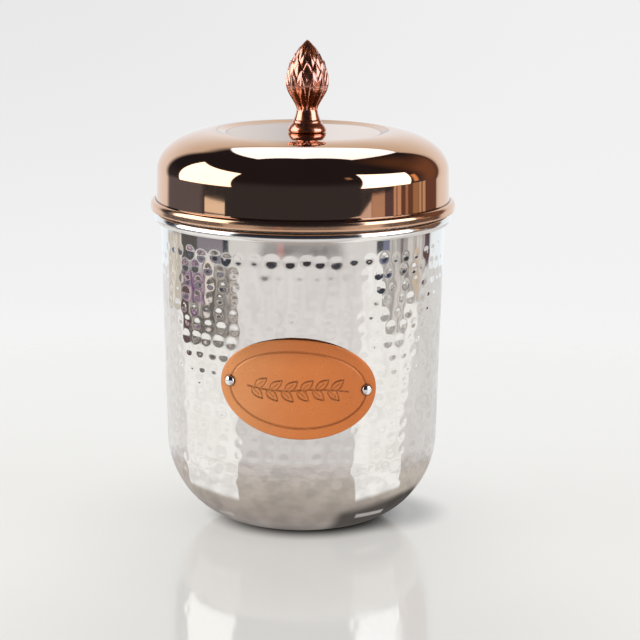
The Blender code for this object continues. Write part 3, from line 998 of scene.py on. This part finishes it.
def build_world():
    """Far away: a pale backdrop and a panel behind, a soft box on each side, and a dark room in front.

    Heights are elevations in degrees. The camera sees only a plain pale backdrop.
    """
    world = bpy.data.worlds.new("studio")
    bpy.context.scene.world = world
    world.use_nodes = True
    nodes = Nodes(world.node_tree)
    studio = Patches(nodes, nodes.add("ShaderNodeTexCoord").outputs["Generated"])
    studio.height = studio.degrees("ARCSINE", studio.z)
    # The dark room, and the backdrop and the panel on both sides of the seam at 180 degrees.
    gloom = nodes.fit(studio.height, -5, 25)
    studio.light = nodes.mix(gloom, (0.045, 0.052, 0.070), (0.019, 0.019, 0.027))
    fade = nodes.fit(studio.height, 10, 42)
    pale = nodes.mix(fade, (0.95, 1.03, 1.10), (0.74, 0.76, 0.72))
    for patch in (
        (pale, ((-8, 127), (40, 150)), 181, -25, 41, 2),
        (pale, -181, ((-8, -129), (40, -147)), -25, 41, 5),
        (TOP_PANEL, ((42, 150), (68, 130)), 181, 41, ((131, 67), (181, 75))),
        (TOP_PANEL, -181, ((42, -162), (68, -134)), 41, ((-181, 75), (-134, 68))),
        # The room's brown wall on the right, and what is dimly seen of it low down.
        ((0.10, 0.055, 0.036), 100, 134, 20, 60, 14),
        ((0.20, 0.105, 0.07), 108, ((-8, 125), (40, 148)), -12, 32, 10),
        ((0.14, 0.16, 0.22), -128, -84, -20, -3, 4),
        # The far edge of the table, which shows under the can's rim.
        (TABLE_EDGE, 24, 62, -15, -9.5),
        (TABLE_EDGE, -62, -24, -15, -9.5),
        (FRONT_GAP, -34, 32, -14, -9, 7, 1.5),
        (RED_MARK, -20, -15, -15, -10),
        ((0.78, 0.78, 0.79), -45, 45, -12.44, -11.4, 0.1),
        ((0.35, 0.26, 0.18), 37, 42, 30, 38, 1.5),
        (SOFT_BOX, ((0, 46), (45, 52)), ((0, 92), (28, 95)), -5, ((52, 45), (95, 28))),
        (WARM_SOFT_BOX, ((-5, -111), (43, -118)), ((-5, -57), (43, -60)), -5, 43),
        ((0.95, 0.50, 0.25), 96, 101, 0, 19, 1.5),
    ):
        studio.patch(*patch)
    backdrop = nodes.mix(nodes.fit(studio.x, -0.13, 0.13), (0.81, 0.81, 0.81), (0.87, 0.87, 0.87))
    backdrop = nodes.mix(nodes.fit(studio.height, -3, -13), backdrop, (0.90, 0.90, 0.90))
    ray = nodes.add("ShaderNodeLightPath").outputs
    light = nodes.mix(ray["Is Diffuse Ray"], studio.light, FILL_LIGHT)
    background = world.node_tree.nodes["Background"]
    nodes.put(background.inputs["Color"], nodes.mix(ray["Is Camera Ray"], light, backdrop))


def use_shader(material, nodes, shader, output):
    """Puts another shader in the place of the material's first one."""
    nodes.put(material.node_tree.nodes["Material Output"].inputs["Surface"], output)
    material.node_tree.nodes.remove(shader)


CARDS_R = 450 * MM
CARDS_HEIGHT = 150 * MM


def build_cards():
    """Things that stand on the table to the left and right, which only downward mirrored rays see.

    Heights are in millimetres. The can mirrors what is lower than 75, the lid what is higher than 100.
    """
    shape = bmesh.new()
    bmesh.ops.create_cone(shape, segments=128, radius1=CARDS_R, radius2=CARDS_R, depth=CARDS_HEIGHT)
    cards = shape_object("cards", shape)
    cards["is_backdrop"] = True
    cards.location.z = CARDS_HEIGHT / 2 + MM
    material, nodes, shader = new_material("cards")
    place = nodes.geometry("Position")
    things = Patches(nodes, place)
    things.height = nodes.times(things.z, 1000.0)
    clutter = nodes.fit(nodes.noise(nodes.stretched(place, (1, 1, 6)), 24, 4, 0.6), 0.42, 0.6)
    streaks = nodes.fit(nodes.noise(nodes.stretched(place, (1, 1, 0.4)), 45, 3), 0.4, 0.6)
    grey = nodes.mix(clutter, (0.18, 0.17, 0.165), (0.62, 0.59, 0.56))
    purple = nodes.mix(clutter, (0.17, 0.09, 0.20), (0.60, 0.50, 0.55))
    tan = nodes.mix(streaks, (0.60, 0.57, 0.51), (0.88, 0.85, 0.78))
    beige = nodes.mix(streaks, (0.44, 0.43, 0.43), (0.74, 0.73, 0.72))
    for patch in (
        # Left, low: a crowd of grey and dark things with purple flowers.
        (tan, -133, -107, 22, 72, 2),
        (grey, -109, -51, -2, 50),
        ((0.11, 0.105, 0.10), -108, -88, 57, 75),
        ((0.27, 0.25, 0.29), -88, -62, 57, 75),
        (purple, -106, -81, 27, 47),
        ((0.85, 0.80, 0.77), -80, -73, 27, 52),
        ((0.16, 0.15, 0.14), -76, -70, 12, 40),
        ((0.13, 0.09, 0.09), -109, -100, 2, 30),
        ((0.12, 0.11, 0.11), -92, -70, 10, 18, 2),
        ((0.10, 0.095, 0.09), -109, -58, -2, 7),
        # Right, low: pale stripes with a blue and a dark one.
        (beige, 63, 110, 26, 72),
        (beige, 68, 88, 5, 28),
        ((0.20, 0.22, 0.33), 63, 69, 56, 72),
        ((0.22, 0.20, 0.20), 80, 83, 50, 72),
        ((0.30, 0.28, 0.27), 84, 90, 38, 50),
        ((0.66, 0.56, 0.46), 97, 103, 30, 60),
        ((0.15, 0.10, 0.13), 110, 115, 50, 68),
        # Left, high: a bright window.
        ((0.42, 0.41, 0.44), -75.8, -57.4, 108.5, 113),
        ((1.0, 1.05, 1.0), -75.8, -57.4, 112.5, 122.8),
        # Right, high: tan and dark stripes.
        ((0.76, 0.72, 0.76), ((111, 35.5), (125, 49)), 50.5, 99, 126, 1.2),
        ((0.57, 0.44, 0.38), 50, 61.3, 99, 129),
        ((0.13, 0.10, 0.13), 61.3, 68.5, 99, 129),
        ((0.67, 0.51, 0.42), 68.5, 76, 99, 143),
        ((0.30, 0.18, 0.14), 71, 72.2, 99, 140, 0.4),
        ((0.17, 0.095, 0.075), 76, 87.5, 99, ((76, 128), (87.5, 141))),
        ((0.45, 0.31, 0.24), 80, 82.5, 99, 134, 0.5),
        ((0.42, 0.28, 0.18), 87.5, 94.5, 99, 147),
        ((0.64, 0.51, 0.40), 94.5, 103, 99, 147),
        ((0.22, 0.13, 0.09), 97.5, 99, 99, 147, 0.4),
        ((0.17, 0.095, 0.08), 103, 118, 99, 147, 1.5),
    ):
        things.patch(*patch)
    ray = nodes.add("ShaderNodeLightPath").outputs
    rising = nodes.split(nodes.geometry("Incoming"))[2]
    seen = nodes.times(ray["Is Glossy Ray"], nodes.math("GREATER_THAN", rising, 0.0))
    clear = nodes.add("ShaderNodeBsdfTransparent").outputs[0]
    shown = nodes.times(things.cover, seen)
    use_shader(material, nodes, shader, nodes.join(shown, clear, nodes.glow(things.light)))
    cards.data.materials.append(material)
    cards.visible_shadow = False
    cards.visible_diffuse = False


FLOOR_R = 0.706
FLOOR_FADE = (0.33, FLOOR_R - 0.03)
FLOOR_COLOR = (0.81, 0.785, 0.75)
FLOOR_GLOSS = (1.0, 0.98, 0.95)
FLOOR_IOR = 1.21
FLOOR_GLOW = 0.7
SHEEN = (1.02, 1.05, 1.06)
# Painted shade of the table top in front of the can as the metal sees it, from a distance in millimetres to
# 1.5 times that.
PAINTED_SHADES = (
    (450, (0.86, 0.865, 0.88)),
    (250, (0.76, 0.77, 0.785)),
    (160, (0.68, 0.65, 0.65)),
    (95, (0.60, 0.565, 0.53)),
    (66, (0.50, 0.465, 0.425)),
    (48, (0.38, 0.35, 0.335)),
    (30, (0.12, 0.11, 0.105)),
)


def painted_floor_in_the_can(nodes, place):
    """Light that the table top gives off where polished metal sees it, all painted: painted shade dims it
    in front and near the can, and a painted sheen brightens each side.

    Heights are distances from the can's axis in millimetres.
    """
    table = Patches(nodes, place)
    away = nodes.vector("LENGTH", place).outputs["Value"]
    table.height = nodes.times(away, 1000.0)
    table.light = nodes.mix(nodes.fit(table.azimuth, -90, 90), (0.87, 0.88, 0.89), (0.78, 0.79, 0.80))
    front = nodes.fit(nodes.math("ABSOLUTE", table.azimuth), 60, 120, 1.0, 0.0)
    close = nodes.fit(table.height, 110, 160, 1.0, 0.0)
    shaded = nodes.math("MAXIMUM", front, close)
    for far, shade in PAINTED_SHADES:
        dim = nodes.fit(table.height, far, far * 1.5, 1.0, 0.0, smooth=False)
        table.light = nodes.mix(nodes.times(dim, shaded), table.light, shade)
    # Under the bowl: a painted shadow on the right, and a small painted highlight on each side.
    table.patch((0.095, 0.088, 0.084), 22, 110, -20, ((22, 56), (80, 68)), 6)
    table.patch((0.45, 0.44, 0.44), 37, 63, 48.5, 52.5)
    table.patch((0.50, 0.48, 0.46), -66, -50, 47, 50.5)
    # A painted sheen of the soft boxes on each side.
    left, right = ((68, -90), (240, -100.5)), ((68, -40), (240, -47))
    table.patch(SHEEN, left, right, ((-90, 78), (-40, 69)), 900, 0.5, 4)
    left, right = ((70, 33.8), (242, 38.6)), ((73, 71), (223, 81.8))
    table.patch(SHEEN, left, right, ((33, 69), (72, 79)), 900, 0.5, 4)
    # Painted reflection of the dark gap past the table's far edge, and of the red mark there.
    table.patch(FRONT_GAP, -34, 32, 697, 720, 7, 2)
    table.patch(RED_MARK, -20, -15, 697, 720, 1)
    # Faint uneven painted light, with finer marks near the can.
    ripple = nodes.fit(nodes.noise(place, 17, 3), 0.36, 0.64, 0.87, 1.04, smooth=False)
    fine = nodes.fit(nodes.noise(place, 60, 2), 0.38, 0.62, 0.86, 1.05, smooth=False)
    fine = nodes.fit(table.height, 120, 260, fine, 1.0)
    ripple = nodes.times(ripple, fine)
    return nodes.mix(ripple, (0.0, 0.0, 0.0), table.light)


def build_floor():
    """A glossy table top with the can's soft shadow painted into its colour. For the camera it fades into
    the backdrop.
    """
    shape = bmesh.new()
    bmesh.ops.create_circle(shape, cap_ends=True, segments=128, radius=FLOOR_R)
    floor = shape_object("floor", shape)
    floor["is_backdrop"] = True
    floor.location.z = -0.2 * MM
    material, nodes, shader = new_material("floor")
    place = nodes.place()

    def near(middle, low, high, shade):
        """shade within low of a point, 1 beyond high."""
        away = nodes.vector("DISTANCE", place, middle).outputs["Value"]
        return nodes.fit(away, low, high, shade, 1.0)

    # Painted shadow: dark under the foot, darker on its right side, and two faint wide ones towards the
    # front.
    under = near((0.002, 0.002, 0), 0.032, 0.053, 0.0)
    for middle, low, high, shade in (
        ((0.035, 0.005, 0), 0.022, 0.044, 0.55),
        ((-0.01, -0.03, 0), 0.05, 0.15, 0.92),
        ((0, -0.2, 0), 0.03, 0.2, 0.86),
    ):
        under = nodes.times(under, near(middle, low, high, shade))
    color = nodes.mix(under, (0.0, 0.0, 0.0), FLOOR_COLOR)
    ray = nodes.add("ShaderNodeLightPath").outputs
    matte = nodes.add("ShaderNodeBsdfDiffuse", {"Color": color}).outputs[0]
    # Most of the table top's light is its own glow in its painted colour, which stands in for an even
    # light.
    matte = nodes.join(FLOOR_GLOW, matte, nodes.glow(color))
    roughness = nodes.fit(nodes.noise(place, 12), 0.3, 0.7, 0.07, 0.11)
    gloss = nodes.add("ShaderNodeBsdfGlossy", {"Color": FLOOR_GLOSS, "Roughness": roughness}).outputs[0]
    # Seen from behind, the table would mirror the soft boxes in front: it is duller from there.
    duller = nodes.fit(nodes.split(nodes.geometry("Incoming"))[1], -0.3, 0.3, 1.0, 0.25)
    shine = nodes.times(nodes.add("ShaderNodeFresnel", {"IOR": FLOOR_IOR}).outputs[0], duller)
    seen = nodes.join(shine, matte, gloss)
    # What metal sees of the table top is a painted glow.
    mirrored = nodes.glow(painted_floor_in_the_can(nodes, place))
    top = nodes.join(ray["Is Camera Ray"], mirrored, seen)
    clear = nodes.add("ShaderNodeBsdfTransparent").outputs[0]
    away = nodes.vector("LENGTH", place).outputs["Value"]
    fade = nodes.times(ray["Is Camera Ray"], nodes.fit(away, *FLOOR_FADE))
    use_shader(material, nodes, shader, nodes.join(fade, top, clear))
    floor.data.materials.append(material)


build_world()
build_cards()
build_floor()


# ---------------------------------------------------------------- camera
LENS = 135.4
CAMERA_PLACE = (0, -1.17607, 0.33815)
CAMERA_TURN = math.radians(-0.430)
CAMERA_TILT = math.radians(78.532)
CAMERA_ROLL = math.radians(0.368)


def build_camera():
    camera = new_object("camera", bpy.data.cameras.new("camera"))
    camera.data.lens = LENS
    turn = Matrix.Rotation(CAMERA_TURN, 4, "Z")
    tilt = Matrix.Rotation(CAMERA_TILT, 4, "X")
    roll = Matrix.Rotation(CAMERA_ROLL, 4, "Z")
    camera.matrix_world = Matrix.Translation(CAMERA_PLACE) @ turn @ tilt @ roll
    bpy.context.scene.camera = camera


build_camera()
bpy.context.scene.view_settings.view_transform = "Standard"

visual_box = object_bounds()
boxes = {"cad": CAD_BOX, "visual": visual_box}
{name: [list(corner) for corner in corners] for name, corners in boxes.items()}
